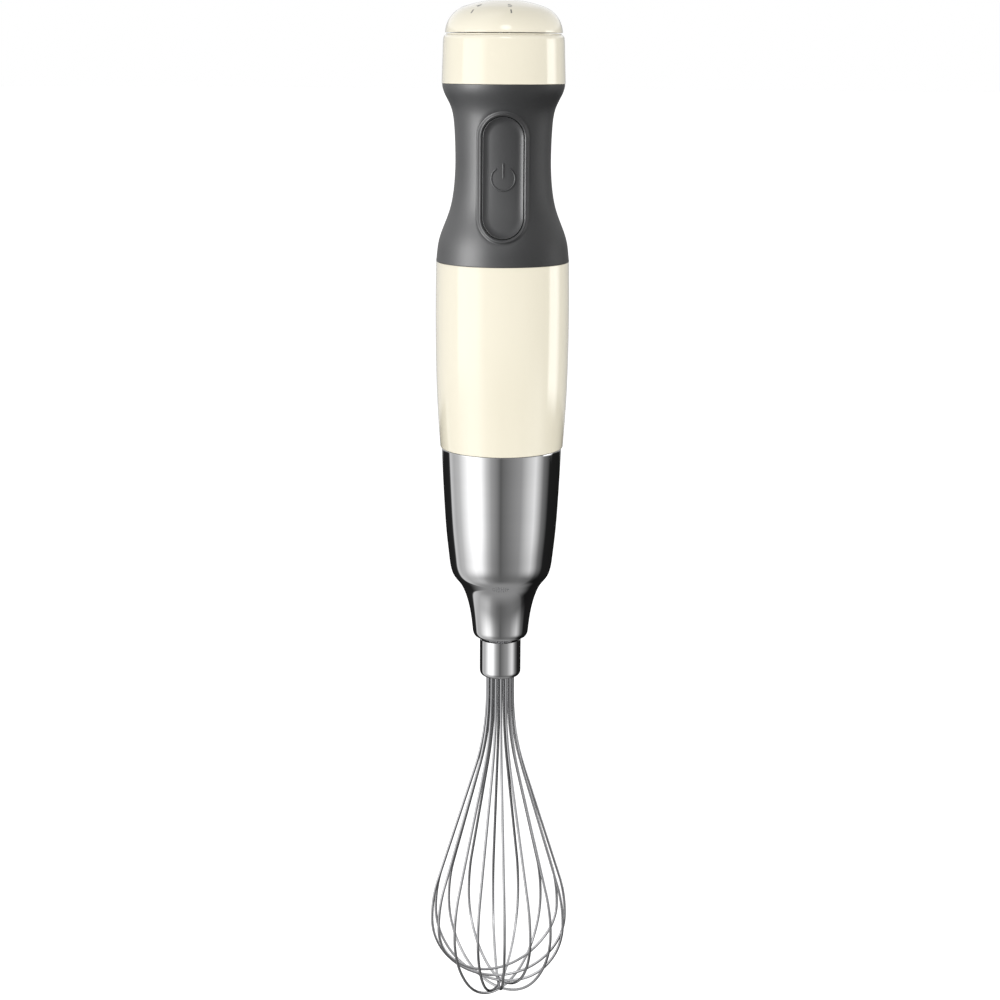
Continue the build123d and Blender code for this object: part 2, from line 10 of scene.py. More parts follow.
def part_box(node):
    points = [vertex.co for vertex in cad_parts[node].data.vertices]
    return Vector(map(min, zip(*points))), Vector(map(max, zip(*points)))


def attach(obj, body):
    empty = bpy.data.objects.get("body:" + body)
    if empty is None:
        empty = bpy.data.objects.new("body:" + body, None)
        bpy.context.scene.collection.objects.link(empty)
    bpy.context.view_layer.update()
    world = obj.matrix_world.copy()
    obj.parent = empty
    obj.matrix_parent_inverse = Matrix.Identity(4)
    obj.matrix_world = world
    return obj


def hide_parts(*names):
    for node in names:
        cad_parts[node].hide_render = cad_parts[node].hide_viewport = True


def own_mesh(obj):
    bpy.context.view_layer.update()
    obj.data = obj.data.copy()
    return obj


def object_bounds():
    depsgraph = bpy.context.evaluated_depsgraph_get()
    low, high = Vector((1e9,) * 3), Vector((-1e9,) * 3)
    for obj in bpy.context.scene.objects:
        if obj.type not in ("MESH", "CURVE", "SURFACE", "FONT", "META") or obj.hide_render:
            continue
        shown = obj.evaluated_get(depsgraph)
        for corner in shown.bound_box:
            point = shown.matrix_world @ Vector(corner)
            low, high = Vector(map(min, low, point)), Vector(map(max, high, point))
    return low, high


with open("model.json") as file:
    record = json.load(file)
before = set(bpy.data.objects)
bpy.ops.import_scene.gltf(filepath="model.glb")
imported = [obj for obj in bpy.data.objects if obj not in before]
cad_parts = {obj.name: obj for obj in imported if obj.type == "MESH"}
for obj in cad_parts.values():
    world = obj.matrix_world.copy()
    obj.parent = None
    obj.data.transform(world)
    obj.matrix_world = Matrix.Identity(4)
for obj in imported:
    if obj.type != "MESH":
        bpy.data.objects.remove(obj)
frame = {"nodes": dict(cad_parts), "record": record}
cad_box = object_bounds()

MM = 0.001
EYE_DISTANCE = 0.9146
EYE_HEIGHT = 0.467
EYE_SIDE = -0.00055
LOOK_DOWN = radians(12.9)
ROLL = radians(0.34)

lens = bpy.data.cameras.new("studio_camera")
lens.lens = 70.0
lens.sensor_width = 36.0
camera = bpy.data.objects.new("studio_camera", lens)
camera.location = (EYE_SIDE, -EYE_DISTANCE, EYE_HEIGHT)
gaze = Euler((pi / 2 - LOOK_DOWN, 0, 0)).to_matrix() @ Matrix.Rotation(ROLL, 3, "Z")
camera.rotation_euler = gaze.to_euler()
bpy.context.collection.objects.link(camera)
bpy.context.scene.camera = camera
bpy.context.scene.view_settings.view_transform = "Standard"

# ------------------------------------------------------------------- studio
# A white sweep in a white room.  Gloss and polished metal read by what they
# mirror, so the room carries soft boxes, grey walls and dark drapes.


def link(tree, source, target):
    tree.links.new(source, target)


def calc(tree, kind, first, second=0.0):
    """A Math node; either value may be a socket or a number."""
    node = tree.nodes.new("ShaderNodeMath")
    node.operation = kind
    for slot, value in zip(node.inputs, (first, second)):
        if hasattr(value, "links"):
            link(tree, value, slot)
        else:
            slot.default_value = value
    return node.outputs[0]


def fade(tree, value, low, high):
    """0 below `low`, 1 above `high`, smooth between."""
    node = tree.nodes.new("ShaderNodeMapRange")
    node.interpolation_type = "SMOOTHSTEP"
    node.inputs["From Min"].default_value = low
    node.inputs["From Max"].default_value = high
    link(tree, value, node.inputs["Value"])
    return node.outputs[0]


def mixed(tree, share, first, second):
    """`first` where the share is 0, `second` where it is 1."""
    node = tree.nodes.new("ShaderNodeMix")
    for slot, value in (("Factor", share), ("A", first), ("B", second)):
        if hasattr(value, "links"):
            link(tree, value, node.inputs[slot])
        else:
            node.inputs[slot].default_value = value
    return node.outputs[0]


BRIGHTEST = 8.0


def round_the_room(tree, turn, stops):
    """Brightness by compass angle: 0 degrees is towards the eye, 90 to its right."""
    ramp = tree.nodes.new("ShaderNodeValToRGB")
    ramp.color_ramp.interpolation = "LINEAR"
    marks = ramp.color_ramp.elements
    marks.remove(marks[1])
    for count, (angle, value) in enumerate(stops):
        mark = marks.new(0.5 + angle / 360) if count else marks[0]
        mark.position = 0.5 + angle / 360
        mark.color = (value / BRIGHTEST, value / BRIGHTEST, value / BRIGHTEST, 1)
    link(tree, turn, ramp.inputs["Fac"])
    return calc(tree, "MULTIPLY", ramp.outputs["Color"], BRIGHTEST)


room = bpy.data.worlds.new("studio_room")
bpy.context.scene.world = room
room.use_nodes = True
sky = room.node_tree
sky.nodes.clear()
toward = sky.nodes.new("ShaderNodeTexCoord").outputs["Generated"]
axes = sky.nodes.new("ShaderNodeSeparateXYZ")
link(sky, toward, axes.inputs[0])
height = axes.outputs["Z"]
compass = calc(sky, "ARCTAN2", axes.outputs["X"], calc(sky, "MULTIPLY", axes.outputs["Y"], -1.0))
compass = calc(sky, "ADD", calc(sky, "DIVIDE", compass, 2 * pi), 0.5)
steel_view = round_the_room(sky, compass, [
    (-180, 0.01), (-127, 0.02), (-122, 0.04), (-118, 0.70), (-106, 0.50), (-92, 0.62),
    (-74, 1.15), (-60, 1.6), (-44, 1.5), (-35, 1.0), (-29, 0.68), (-20, 0.40), (-8, 0.24),
    (-1, 0.12), (5, 0.17), (25, 0.28), (40, 0.36), (55, 0.66), (71, 0.92), (80, 0.60),
    (92, 0.20), (104, 0.09), (110, 0.015), (179, 0.01),
])
neck_view = round_the_room(sky, compass, [
    (-180, 0.01), (-127, 0.02), (-122, 0.04), (-117, 0.66), (-104, 0.57), (-92, 0.49),
    (-81, 0.54), (-60, 0.60), (-48, 0.51), (-38, 0.34), (-30, 0.26), (-15, 0.17), (0, 0.13),
    (15, 0.155), (30, 0.18), (48, 0.195), (60, 0.185), (72, 0.165), (82, 0.14), (92, 0.04),
    (104, 0.01), (179, 0.01),
])
moulding_view = round_the_room(sky, compass, [
    (-180, 0.55), (-130, 0.60), (-92, 0.85), (-84, 0.85), (-81, 2.1), (-70, 2.2), (-45, 2.1),
    (-30, 0.85), (0, 0.60), (60, 0.42), (86, 0.40), (91, 2.6), (106, 2.4), (119, 0.40),
    (140, 0.35), (179, 0.5),
])
upper_view = round_the_room(sky, compass, [
    (-180, 1.0), (-120, 1.2), (-70, 1.6), (-40, 1.5), (0, 0.9), (60, 0.8), (120, 0.9),
    (179, 1.0),
])


def rising(low, high):
    """0 under the first elevation in degrees, 1 over the second."""
    return fade(sky, height, sin(radians(low)), sin(radians(high)))


NADIR_LOW, NADIR_HIGH, NADIR_GREY = -0.97, -0.72, 0.30
off_front = calc(sky, "ABSOLUTE", calc(sky, "SUBTRACT", compass, 0.5))
behind = fade(sky, off_front, 112 / 360, 118 / 360)
front_split = rising(-15, -8)
strip_split = rising(-14.6, -11.5)
at_strip = fade(sky, compass, 0.5 + 84 / 360, 0.5 + 88 / 360)
front_split = mixed(sky, at_strip, front_split, strip_split)
back_split = rising(-12.8, -11.6)
mirrored = mixed(sky, mixed(sky, behind, front_split, back_split), steel_view, moulding_view)
mirrored = mixed(sky, rising(-41, -20), neck_view, mirrored)
mirrored = mixed(sky, fade(sky, height, NADIR_LOW, NADIR_HIGH), NADIR_GREY, mirrored)
mirrored = mixed(sky, rising(6, 12), mirrored, upper_view)
SPARK_TURN, SPARK_RISE, SPARK_POWER = radians(4), radians(25), 3.0
SPARK_CORE, SPARK_EDGE = radians(4), radians(13)
spark = sky.nodes.new("ShaderNodeVectorMath")
spark.operation = "DOT_PRODUCT"
link(sky, toward, spark.inputs[0])
spark.inputs[1].default_value = (
    sin(SPARK_TURN) * cos(SPARK_RISE), -cos(SPARK_TURN) * cos(SPARK_RISE), sin(SPARK_RISE),
)
glint = fade(sky, spark.outputs["Value"], cos(SPARK_EDGE), cos(SPARK_CORE))
mirrored = calc(sky, "ADD", mirrored, calc(sky, "MULTIPLY", glint, SPARK_POWER))
DIM_SIDE, BRIGHT_SIDE = 0.52, 0.60
toward_right = calc(sky, "SUBTRACT", axes.outputs["X"], axes.outputs["Y"])
soft_fill = mixed(sky, fade(sky, toward_right, -1.2, 1.2), DIM_SIDE, BRIGHT_SIDE)
ray = sky.nodes.new("ShaderNodeLightPath")
shown = mixed(sky, ray.outputs["Is Glossy Ray"], soft_fill, mirrored)
shown = mixed(sky, ray.outputs["Is Camera Ray"], shown, 1.0)
glow = sky.nodes.new("ShaderNodeBackground")
glow.inputs["Color"].default_value = (1, 1, 1, 1)
link(sky, shown, glow.inputs["Strength"])
link(sky, glow.outputs[0], sky.nodes.new("ShaderNodeOutputWorld").inputs["Surface"])


def panel(name, place, aim, width, height, power):
    """A flat studio light, kept out of the reflections."""
    light = bpy.data.lights.new(name, "AREA")
    light.shape = "RECTANGLE"
    light.size, light.size_y = width, height
    light.energy = power
    lamp = bpy.data.objects.new(name, light)
    lamp.location = place
    lamp.rotation_euler = (Vector(aim) - Vector(place)).to_track_quat("-Z", "Y").to_euler()
    lamp.visible_glossy = False
    bpy.context.collection.objects.link(lamp)
    return lamp


middle = (0, 0, cad_box[1][2] / 2)
panel("key_panel", (-1.2, -1.0, 0.8), middle, 0.7, 1.2, 9.0)
panel("fill_panel", (1.0, -1.4, 0.5), middle, 1.0, 1.2, 2.0)
panel("top_panel", (1.1, -0.35, 1.2), (0, 0, 0.45), 0.9, 0.9, 2.4)
# This one lights the rubber alone, and shows in its dull sheen.
rubber_key = panel("rubber_panel", (-1.22, -0.72, 0.5), (0, 0, 0.42), 0.9, 1.2, 46.0)
rubber_key.visible_glossy = True
rubber_pieces = bpy.data.collections.new("rubber_pieces")
rubber_key.light_linking.receiver_collection = rubber_pieces

# The floor leaves room for the whisk when it is pulled down out of its socket.
FLOOR_Z, FLOOR_R = -0.06, 30.0
floor_mesh = bpy.data.meshes.new("floor")
floor_shape = bmesh.new()
floor_place = Matrix.Translation((0, 0, FLOOR_Z))
bmesh.ops.create_circle(
    floor_shape, cap_ends=True, segments=96, radius=FLOOR_R, matrix=floor_place
)
floor_shape.to_mesh(floor_mesh)
floor = bpy.data.objects.new("floor", floor_mesh)
floor.visible_glossy = False
bpy.context.collection.objects.link(floor)
floor_paint = bpy.data.materials.new("white_sweep")
floor_paint.use_nodes = True
sweep = floor_paint.node_tree.nodes["Principled BSDF"].inputs
sweep["Base Color"].default_value = (0.9, 0.9, 0.9, 1)
sweep["Roughness"].default_value = 0.9
sweep["Emission Color"].default_value = (1, 1, 1, 1)
sweep["Emission Strength"].default_value = 0.62
floor_mesh.materials.append(floor_paint)

# --------------------------------------------------------------- whisk wires
# Eight loops of hard-drawn stainless wire, 1.3 mm thick, polished bright.
# Each is one length bent into a balloon; both ends go up into the ferrule.


def finish(
    name, light, dark, rough, metal=0.0, blotch=60.0, grain=1500.0, depth=0.01,
    stretch=(1, 1, 1), **more
):
    """A material whose colour drifts between two near tones, with a fine
    grain in its roughness and relief.  `depth` is the relief in millimetres."""
    paint = bpy.data.materials.new(name)
    paint.use_nodes = True
    tree = paint.node_tree
    body = tree.nodes["Principled BSDF"]
    place = tree.nodes.new("ShaderNodeMapping")
    place.inputs["Scale"].default_value = stretch
    link(tree, tree.nodes.new("ShaderNodeTexCoord").outputs["Object"], place.inputs["Vector"])
    noises = []
    for scale in (blotch, grain):
        noise = tree.nodes.new("ShaderNodeTexNoise")
        noise.inputs["Scale"].default_value = scale
        noise.inputs["Detail"].default_value = 3.0
        link(tree, place.outputs[0], noise.inputs["Vector"])
        noises.append(noise.outputs["Fac"])
    tone = tree.nodes.new("ShaderNodeValToRGB")
    first, last = tone.color_ramp.elements
    first.position, first.color = 0.35, (*dark, 1)
    last.position, last.color = 0.65, (*light, 1)
    link(tree, noises[0], tone.inputs["Fac"])
    link(tree, tone.outputs["Color"], body.inputs["Base Color"])
    gloss = tree.nodes.new("ShaderNodeMapRange")
    gloss.inputs["To Min"].default_value, gloss.inputs["To Max"].default_value = rough
    link(tree, noises[1], gloss.inputs["Value"])
    link(tree, gloss.outputs[0], body.inputs["Roughness"])
    relief = tree.nodes.new("ShaderNodeBump")
    relief.inputs["Strength"].default_value = 1.0
    relief.inputs["Distance"].default_value = depth * MM
    link(tree, noises[1], relief.inputs["Height"])
    link(tree, relief.outputs[0], body.inputs["Normal"])
    body.inputs["Metallic"].default_value = metal
    for socket, value in more.items():
        body.inputs[socket.replace("_", " ")].default_value = value
    return paint


bright_wire = finish(
    "bright_drawn_wire", (0.49, 0.49, 0.50), (0.42, 0.42, 0.43), (0.07, 0.12),
    metal=1.0, depth=0.002,
)


def tube_tree():
    """Geometry nodes that draw a round bar along the piece's own line."""
    tree = bpy.data.node_groups.new("round_bar_on_a_line", "GeometryNodeTree")
    for name, kind, way in (
        ("Line", "Geometry", "INPUT"), ("Bar Radius", "Float", "INPUT"),
        ("Turn", "Float", "INPUT"), ("Sides", "Int", "INPUT"),
        ("Finish", "Material", "INPUT"), ("Bar", "Geometry", "OUTPUT"),
    ):
        tree.interface.new_socket(name, in_out=way, socket_type=f"NodeSocket{kind}")
    given = tree.nodes.new("NodeGroupInput").outputs
    spine = tree.nodes.new("GeometryNodeMeshToCurve")
    ring = tree.nodes.new("GeometryNodeCurvePrimitiveCircle")
    skin = tree.nodes.new("GeometryNodeCurveToMesh")
    skin.inputs["Fill Caps"].default_value = True
    spin = tree.nodes.new("ShaderNodeCombineXYZ")
    place = tree.nodes.new("GeometryNodeTransform")
    smooth = tree.nodes.new("GeometryNodeSetShadeSmooth")
    real = tree.nodes.new("GeometryNodeRealizeInstances")
    coat = tree.nodes.new("GeometryNodeSetMaterial")
    link(tree, given["Line"], spine.inputs["Mesh"])
    link(tree, given["Bar Radius"], ring.inputs["Radius"])
    link(tree, given["Sides"], ring.inputs["Resolution"])
    link(tree, spine.outputs["Curve"], skin.inputs["Curve"])
    link(tree, ring.outputs["Curve"], skin.inputs["Profile Curve"])
    link(tree, skin.outputs["Mesh"], place.inputs["Geometry"])
    link(tree, given["Turn"], spin.inputs["Z"])
    link(tree, spin.outputs[0], place.inputs["Rotation"])
    link(tree, place.outputs[0], smooth.inputs["Geometry"])
    link(tree, smooth.outputs[0], real.inputs[0])
    link(tree, real.outputs[0], coat.inputs["Geometry"])
    link(tree, given["Finish"], coat.inputs["Material"])
    link(tree, coat.outputs[0], tree.nodes.new("NodeGroupOutput").inputs["Bar"])
    return tree


def add_piece(name, mesh, body, slot, *nodes):
    """Puts a finished mesh in the scene, on its body, in place of CAD nodes."""
    piece = bpy.data.objects.new(name, mesh)
    bpy.context.collection.objects.link(piece)
    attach(piece, body)
    if nodes:
        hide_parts(*nodes)
    return piece


BAR_TREE = tube_tree()


def bar_along(points, radius, turn, sides, paint):
    """The mesh of a round bar that follows a list of points in metres."""
    line = bpy.data.meshes.new("line")
    line.from_pydata(points, [(k, k + 1) for k in range(len(points) - 1)], [])
    holder = bpy.data.objects.new("line_holder", line)
    bpy.context.collection.objects.link(holder)
    maker = holder.modifiers.new("bar", "NODES")
    maker.node_group = BAR_TREE
    given = {"Bar Radius": radius, "Turn": turn, "Sides": sides, "Finish": paint}
    for item in BAR_TREE.interface.items_tree:
        if item.name in given:
            maker[item.identifier] = given[item.name]
    ready = holder.evaluated_get(bpy.context.evaluated_depsgraph_get())
    mesh = bpy.data.meshes.new_from_object(ready)
    bpy.data.objects.remove(holder)
    return mesh


WIRE_R, WIRE_SIDES = 0.66 * MM, 16
LEG_R, LEG_RUN = 6.3 * MM, 5 * MM
BALLOON_R, WIDEST_Z = 33.74 * MM, 41.0 * MM
FLARE_TURN, FLARE_R, SHOULDER_R = radians(17.4), 134.0 * MM, 74.0 * MM
SIDE_STRETCH = 0.9
NEAR_WIDEST = 12 * MM


def arc(centre, radius, start, end, count):
    """Points on an arc in the loop's plane, without the first."""
    angles = [start + (end - start) * k / count for k in range(1, count + 1)]
    return [(centre[0] + radius * cos(a), centre[1] + radius * sin(a)) for a in angles]


def loop_line(foot, top):
    """One side of a loop from its leg to its lowest point, then the mirror of it."""
    run = 1 - cos(FLARE_TURN)
    slant = (BALLOON_R - LEG_R - (FLARE_R + SHOULDER_R) * run) / sin(FLARE_TURN)
    flare_z = WIDEST_Z + (FLARE_R + SHOULDER_R) * sin(FLARE_TURN) + slant * cos(FLARE_TURN)
    height = WIDEST_Z - foot
    side_r = height + SIDE_STRETCH * (height - BALLOON_R)
    foot_r = (side_r**2 - height**2 - (BALLOON_R - side_r) ** 2) / (2 * (side_r - height))
    meet = atan2((height - foot_r) / (side_r - foot_r), (side_r - BALLOON_R) / (side_r - foot_r))
    half = [(LEG_R, top), (LEG_R, flare_z + LEG_RUN), (LEG_R, flare_z)]
    half += arc((LEG_R + FLARE_R, flare_z), FLARE_R, pi, pi + FLARE_TURN, 8)
    half += arc((BALLOON_R - SHOULDER_R, WIDEST_Z), SHOULDER_R, FLARE_TURN, 0, 8)
    half += arc((BALLOON_R - side_r, WIDEST_Z), side_r, 0, -meet, 14)
    half += arc((0, foot + foot_r), foot_r, -meet, -pi / 2, 20)
    whole = half + [(-r, z) for r, z in reversed(half[:-1])]
    return [(r, 0, z) for r, z in whole]


for node in sorted(name for name in frame["nodes"] if name.startswith("whisk_wire_")):
    low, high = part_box(node)
    points = [vert.co for vert in frame["nodes"][node].data.vertices]
    belt = [co for co in points if abs(co.z - WIDEST_Z) < NEAR_WIDEST]
    widest = max(belt, key=lambda co: hypot(co.x, co.y))
    turn = atan2(widest.y, widest.x)
    line = loop_line(low[2] + WIRE_R, high[2])
    wire = bar_along(line, WIRE_R, turn, WIRE_SIDES, bright_wire)
    number = node.split("_")[-1]
    add_piece(f"balloon_loop_{number}", wire, "whisk", "whisk_wire", node)

# ------------------------------------------------------------- whisk ferrule
# A short drawn cup of stainless steel, polished, with a straight wall and a
# rounded mouth.  It is pressed over the hub that holds the wires' ends.


def ends(node):
    """Foot and top of a CAD piece, in millimetres."""
    low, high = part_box(node)
    return low[2] / MM, high[2] / MM


def fair_line(knots, count):
    """Points on the smooth curve through the knots (a natural cubic spline)."""
    knots = np.array(knots, float)
    steps = np.hypot(*np.diff(knots, axis=0).T)
    along = np.concatenate([[0], np.cumsum(steps)])
    size = len(knots)
    system = np.eye(size)
    pull = np.zeros_like(knots)
    for k in range(1, size - 1):
        system[k, k - 1 : k + 2] = steps[k - 1], 2 * (steps[k - 1] + steps[k]), steps[k]
        ahead = (knots[k + 1] - knots[k]) / steps[k]
        pull[k] = 6 * (ahead - (knots[k] - knots[k - 1]) / steps[k - 1])
    bend = np.linalg.solve(system, pull)
    points = []
    for s in np.linspace(0, along[-1], count):
        k = min(max(int(np.searchsorted(along, s)) - 1, 0), size - 2)
        h, a, b = steps[k], along[k + 1] - s, s - along[k]
        value = (bend[k] * a**3 + bend[k + 1] * b**3) / (6 * h)
        value += (knots[k] / h - bend[k] * h / 6) * a + (knots[k + 1] / h - bend[k + 1] * h / 6) * b
        points.append(tuple(value))
    return points


def made_mesh(name, shape, paint):
    """Turns the faces outward, smooths them and gives the mesh its finish."""
    bmesh.ops.recalc_face_normals(shape, faces=shape.faces)
    for side in shape.faces:
        side.smooth = True
    mesh = bpy.data.meshes.new(name)
    shape.to_mesh(mesh)
    mesh.materials.append(paint)
    return mesh


CREASE = radians(36)


def turned(name, outline, paint, segments=192, closed=True):
    """A solid of revolution from an outline of (r, z) in millimetres, given
    so that it runs down the outside and back up the inside."""
    shape = bmesh.new()
    rows = []
    for r, z in outline:
        if r < 1e-6:
            rows.append([shape.verts.new((0, 0, z * MM))] * segments)
            continue
        spokes = [2 * pi * k / segments for k in range(segments)]
        rows.append([shape.verts.new((r * MM * cos(a), r * MM * sin(a), z * MM)) for a in spokes])
    pairs = list(zip(rows, rows[1:])) + ([(rows[-1], rows[0])] if closed else [])
    for upper, lower in pairs:
        for k in range(segments):
            on = (k + 1) % segments
            corners = list(dict.fromkeys([upper[k], lower[k], lower[on], upper[on]]))
            if len(corners) > 2:
                shape.faces.new(corners)
    mesh = made_mesh(name, shape, paint)
    mesh.set_sharp_from_angle(angle=CREASE)
    return mesh


mirror_steel = finish(
    "mirror_steel", (0.80, 0.80, 0.805), (0.78, 0.78, 0.785), (0.015, 0.03), metal=1.0,
    blotch=25.0, grain=700.0, depth=0.0006, stretch=(1, 1, 6),
)
foot, top = ends("whisk_ferrule")
CUP_R, CUP_BORE, CUP_HOLE = 10.0, 9.17, 4.2
ferrule = [(CUP_HOLE, top), (9.93, top), (CUP_R, top - 0.07), (CUP_R, top - 0.3)]
ferrule += [(CUP_R, foot + 3.4)]
ferrule += fair_line([(CUP_R, foot + 3.1), (9.78, foot + 1.6), (8.95, foot + 0.5), (7.7, foot)], 14)
ferrule += [(7.35, foot + 0.15), (7.4, foot + 0.7), (8.6, foot + 1.2), (CUP_BORE, foot + 2.6)]
ferrule += [(CUP_BORE, top - 1.1), (8.8, top - 0.7), (CUP_HOLE, top - 0.7)]
cup = turned("ferrule_cup", ferrule, mirror_steel, 96)
add_piece("ferrule_cup", cup, "whisk", "polished_steel", "whisk_ferrule")

# ------------------------------------------------------------- adapter shell
# Deep-drawn stainless steel, mirror polished, that tapers to a shoulder and
# a narrow neck.  Its mouth is rolled in over the neck seal.
foot, top = ends("adapter_shell")
STEEL = 0.8
shell = fair_line([
    (28.67, top - 0.4), (28.2, 273.0), (27.4, 257.5), (26.3, 241.6), (25.0, 229.6),
    (24.0, 223.6), (22.7, 220.5), (20.9, 218.2), (19.4, 216.2), (17.6, 212.6), (16.1, 208.2),
    (14.85, 202.8), (14.0, 197.2), (13.52, 192.9),
], 150)
lip = fair_line([(13.42, 192.1), (12.95, 190.75), (12.2, 189.95), (11.1, foot)], 12)
inside = [(r - STEEL, z) for r, z in reversed(shell[:-1:6])]
adapter = [(28.67, top)] + shell + lip
adapter += [(10.8, foot + 0.3), (10.9, foot + STEEL), (12.3, foot + 1.6)] + inside
adapter += [(27.9, top - 0.7), (28.5, top - 0.6)]
adapter_mesh = turned("adapter_skin", adapter, mirror_steel)
add_piece("adapter_skin", adapter_mesh, "adapter", "polished_steel", "adapter_shell")

# ------------------------------------------------------------ motor housing
# A one-piece injection-moulded sleeve in glossy cream plastic.  It slides
# over the motor and is closed at the foot by the bayonet ring.
cream = finish(
    "cream_moulding", (0.808, 0.758, 0.614), (0.798, 0.748, 0.602), (0.07, 0.11),
    blotch=18.0, grain=420.0, depth=0.0015, Coat_Weight=1.0, Coat_Roughness=0.04,
)
foot, top = ends("motor_housing")
sleeve = [(28.95, foot), (29.15, foot + 0.08), (29.3, foot + 0.3), (29.38, foot + 0.7)]
sleeve += fair_line([
    (29.42, foot + 1.4), (29.9, 292.0), (30.6, 303.6), (31.12, 316.5), (31.4, 330.0),
    (31.5, 346.0), (31.4, 361.0), (31.18, top - 0.5),
], 60)
sleeve += [(31.12, top - 0.15), (30.95, top), (28.9, top)]
sleeve += [(28.9, 320.0), (27.4, 318.0), (27.4, foot)]
sleeve_mesh = turned("cream_sleeve", sleeve[::-1], cream)
add_piece("cream_sleeve", sleeve_mesh, "motor_body", "cream_gloss", "motor_housing")

# -------------------------------------------------------------- grip sleeve
# Dark grey soft-touch rubber moulded over the handle core.  A rounded bead
# runs round the long oval opening that the power button shows through.
soft_rubber = finish(
    "soft_touch_rubber", (0.0205, 0.0208, 0.0215), (0.017, 0.0173, 0.018), (0.44, 0.51),
    blotch=45.0, grain=4200.0, depth=0.012,
)
GRIP_FOOT, GRIP_TOP = ends("grip_sleeve")
GRIP_LINE = np.array(fair_line([
    (31.2, GRIP_FOOT), (30.9, 375.2), (30.25, 380.6), (28.7, 386.2), (26.5, 391.8),
    (24.6, 397.3), (23.4, 402.9), (22.7, 408.6), (22.25, 416.0), (22.25, 424.0), (22.6, 433.0),
    (23.1, 438.5), (23.7, 441.6), (24.7, 444.5), (26.2, 447.5), (27.5, 450.2), (28.15, 452.6),
    (28.35, GRIP_TOP),
], 400))
OPEN_HALF, OPEN_RUN = 9.7, 17.8
low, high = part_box("power_button")
BUTTON_Z = (low[2] + high[2]) / 2 / MM
PATCH_HALF, CAP_STEPS, BACK_STEPS = 15.0, 32, 112
GRIP_SKIN, LIP_SINK, EDGE_ROUND = 2.2, 0.3, 0.35
BEAD_RISE, BEAD_AT, BEAD_REACH = 0.72, 0.85, 1.15
GROOVE_SINK, GROOVE_AT, GROOVE_WIDTH = 0.16, 2.25, 0.32
BEAD_END = 4


def grip_radius(z):
    """Radius of the grip's smooth outline, rounded off at both ends."""
    edge = min(z - GRIP_FOOT, GRIP_TOP - z)
    drop = 0.0
    if edge < EDGE_ROUND:
        drop = EDGE_ROUND - sqrt(max(EDGE_ROUND**2 - (EDGE_ROUND - edge) ** 2, 0))
    return float(np.interp(z, GRIP_LINE[:, 1], GRIP_LINE[:, 0])) - drop


def bead_rise(gap):
    """Height of the bead over the grip at a distance from the opening."""
    ridge = BEAD_RISE * cos(pi / 2 * min(abs(gap - BEAD_AT) / BEAD_REACH, 1)) ** 2
    return ridge - GROOVE_SINK * np.exp(-(((gap - GROOVE_AT) / GROOVE_WIDTH) ** 2))


def oval(half, run, steps, reach=None):
    """Points round an upright oval.  With `reach` they are the matching
    points on the edge of the rectangle round it, whose rows are `steps`."""
    right, left = [], []
    for z in steps:
        way = 1 if z > BUTTON_Z else -1
        over = abs(z - BUTTON_Z) - run
        tilt, side = 0, z
        if over > 0:
            end = steps[-1] - BUTTON_Z if way > 0 else BUTTON_Z - steps[0]
            tilt = pi / 4 * over / (end - run)
            side = BUTTON_Z + way * run + way * half * sin(tilt)
        point = (reach, z) if reach else (half * cos(tilt), side)
        right.append(point)
        left.append((-point[0], point[1]))
    top, bottom = [], []
    for t in (k / CAP_STEPS for k in range(1, CAP_STEPS)):
        angle = pi / 4 + pi / 2 * t
        x = reach * (1 - 2 * t) if reach else half * cos(angle)
        top.append((x, steps[-1] if reach else BUTTON_Z + run + half * sin(angle)))
        bottom.append((-x, steps[0] if reach else BUTTON_Z - run - half * sin(angle)))
    return right + top + left[::-1] + bottom


edge_rows, last_edge = [0, 0.08, 0.2, 0.35, 0.7, 1.3], 2.2
rows = [GRIP_FOOT + e for e in edge_rows]
rows += list(np.linspace(GRIP_FOOT + last_edge, GRIP_TOP - last_edge, 110))
rows += [GRIP_TOP - e for e in reversed(edge_rows)]
frame_edge = oval(OPEN_HALF, OPEN_RUN, rows, reach=PATCH_HALF)


def skin_point(x, z, drop=0.0, raised=True):
    """A point of the grip's front, `drop` under its surface."""
    gap = hypot(x, max(abs(z - BUTTON_Z) - OPEN_RUN, 0)) - OPEN_HALF
    radius = grip_radius(z) - drop + (bead_rise(gap) if raised and gap < BEAD_END else 0.0)
    return (x * MM, -sqrt(max(radius**2 - x**2, 0)) * MM, z * MM)


def between(near, far, share):
    """The ring that lies a share of the way from one ring to another."""
    return [(a[0] + (b[0] - a[0]) * share, a[1] + (b[1] - a[1]) * share) for a, b in zip(near, far)]


def skin_rings(shape, rings):
    """Joins each ring of corners to the next with a band of faces."""
    for outer, inner in zip(rings, rings[1:]):
        for k in range(len(outer)):
            shape.faces.new([outer[k], outer[k - 1], inner[k - 1], inner[k]])


# The front: from a rectangle's edge in to the opening, over its bead, down
# the opening's wall and back out along the lining.
layers = []
gaps = [0, 0.06, 0.15, 0.27, 0.4, 0.55, 0.7, 0.85, 1.0, 1.15, 1.3, 1.45, 1.6, 1.75, 1.9]
gaps += [2.05, 2.2, 2.35, 2.55, 2.8]
rim = oval(OPEN_HALF + gaps[-1], OPEN_RUN, rows)
for share in (1, 0.993, 0.982, 0.969, 0.938, 0.885, *np.linspace(0.8, 0.1, 8)):
    layers.append([skin_point(x, z) for x, z in between(rim, frame_edge, share)])
for gap in reversed(gaps):
    layers.append([skin_point(x, z) for x, z in oval(OPEN_HALF + gap, OPEN_RUN, rows)])
opening = oval(OPEN_HALF, OPEN_RUN, rows)
mouth = [skin_point(x, z) for x, z in opening]
for sink in (0.12, 0.3, 0.9, 1.8, GRIP_SKIN + LIP_SINK):
    layers.append([(x, y + sink * MM, z) for x, y, z in mouth])
